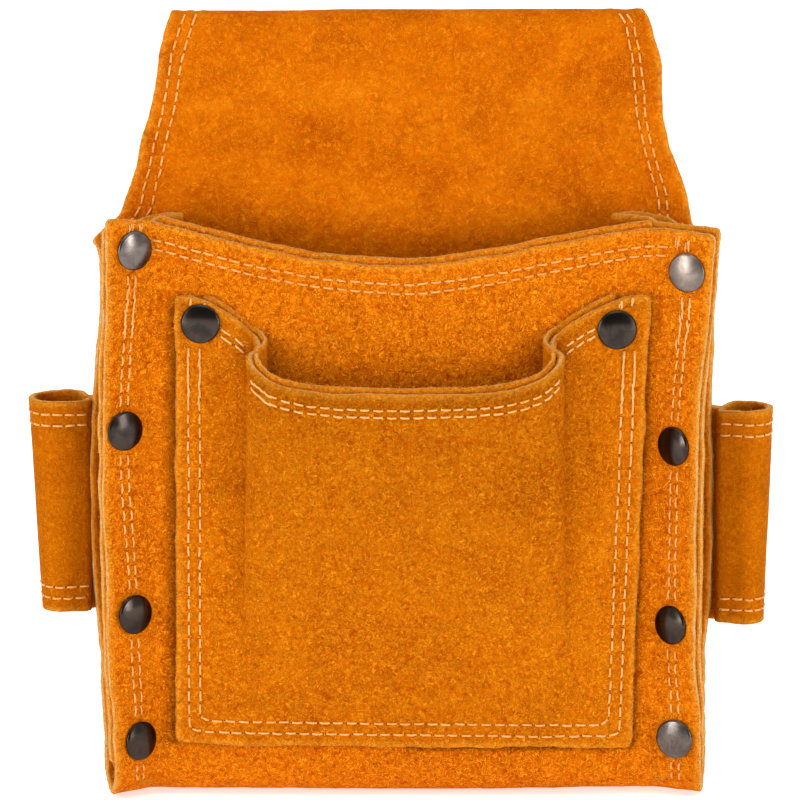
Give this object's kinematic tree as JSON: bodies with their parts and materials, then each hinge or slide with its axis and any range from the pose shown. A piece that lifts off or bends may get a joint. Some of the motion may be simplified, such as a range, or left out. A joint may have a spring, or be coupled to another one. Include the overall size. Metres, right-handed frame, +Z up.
{
  "type": "electrician tool pouch",
  "caption": "Suede tool pouch with a belt tunnel, a bellows main pocket, a pleated front pocket, a tool loop on each side and cap rivets along the seams.",
  "frame": {"origin": "middle of the belt tunnel, where the belt's centre runs", "axes": "+X to the wearer's left as the pouch is seen from its front, -Y out of the front, +Z up"},
  "size_m": [0.2424, 0.0511, 0.2507],
  "materials": {
    "suede": "orange split leather, raised nap, tan cut edges",
    "thread": "cream sewing thread",
    "black_nickel": "dark gunmetal plating, smooth"
  },
  "bodies": {
    "back": {"back_panel": "suede", "left_gusset": "suede", "right_gusset": "suede", "left_tool_loop_tails": "suede", "right_tool_loop_tails": "suede", "flap_thread": "thread", "left_back_seam_thread_lower": "thread", "left_back_seam_thread_upper": "thread", "left_hanger_thread": "thread", "right_back_seam_thread_lower": "thread", "right_back_seam_thread_upper": "thread", "right_hanger_thread": "thread"},
    "front_wall": {"front_panel": "suede", "front_panel_band": "suede", "front_pocket": "suede", "front_pocket_band": "suede", "front_rim_thread": "thread", "left_front_seam_thread_1": "thread", "left_front_seam_thread_2": "thread", "left_front_seam_thread_3": "thread", "left_pocket_rivet_cap": "black_nickel", "left_pocket_rivet_post": "black_nickel", "left_seam_rivet_1_cap": "black_nickel", "left_seam_rivet_1_post": "black_nickel", "left_seam_rivet_2_cap": "black_nickel", "left_seam_rivet_2_post": "black_nickel", "left_seam_rivet_3_cap": "black_nickel", "left_seam_rivet_3_post": "black_nickel", "left_seam_rivet_4_cap": "black_nickel", "left_seam_rivet_4_post": "black_nickel", "pocket_rim_thread": "thread", "pocket_seam_thread": "thread", "right_front_seam_thread_1": "thread", "right_front_seam_thread_2": "thread", "right_front_seam_thread_3": "thread", "right_pocket_rivet_cap": "black_nickel", "right_pocket_rivet_post": "black_nickel", "right_seam_rivet_1_cap": "black_nickel", "right_seam_rivet_1_post": "black_nickel", "right_seam_rivet_2_cap": "black_nickel", "right_seam_rivet_2_post": "black_nickel", "right_seam_rivet_3_cap": "black_nickel", "right_seam_rivet_3_post": "black_nickel", "right_seam_rivet_4_cap": "black_nickel", "right_seam_rivet_4_post": "black_nickel"},
    "left_loop": {"left_tool_loop": "suede", "left_tool_loop_thread_lower": "thread", "left_tool_loop_thread_upper": "thread"},
    "right_loop": {"right_tool_loop": "suede", "right_tool_loop_thread_lower": "thread", "right_tool_loop_thread_upper": "thread"}
  },
  "joints": [
    {"name": "front_opening", "type": "hinge", "parent": "back", "child": "front_wall", "pos_m": [0, -0.0155, -0.1956], "axis": [1, 0, 0], "range_deg": [-2, 7], "deforming": ["left_gusset", "right_gusset"]},
    {"name": "left_loop_swing", "type": "hinge", "parent": "back", "child": "left_loop", "pos_m": [-0.1012, -0.0127, -0.1156], "axis": [0, 0, 1], "range_deg": [-20, 20], "stiffness_Nm_per_rad": 0.01},
    {"name": "right_loop_swing", "type": "hinge", "parent": "back", "child": "right_loop", "pos_m": [0.1012, -0.0127, -0.1201], "axis": [0, 0, -1], "range_deg": [-20, 20], "stiffness_Nm_per_rad": 0.01}
  ]
}
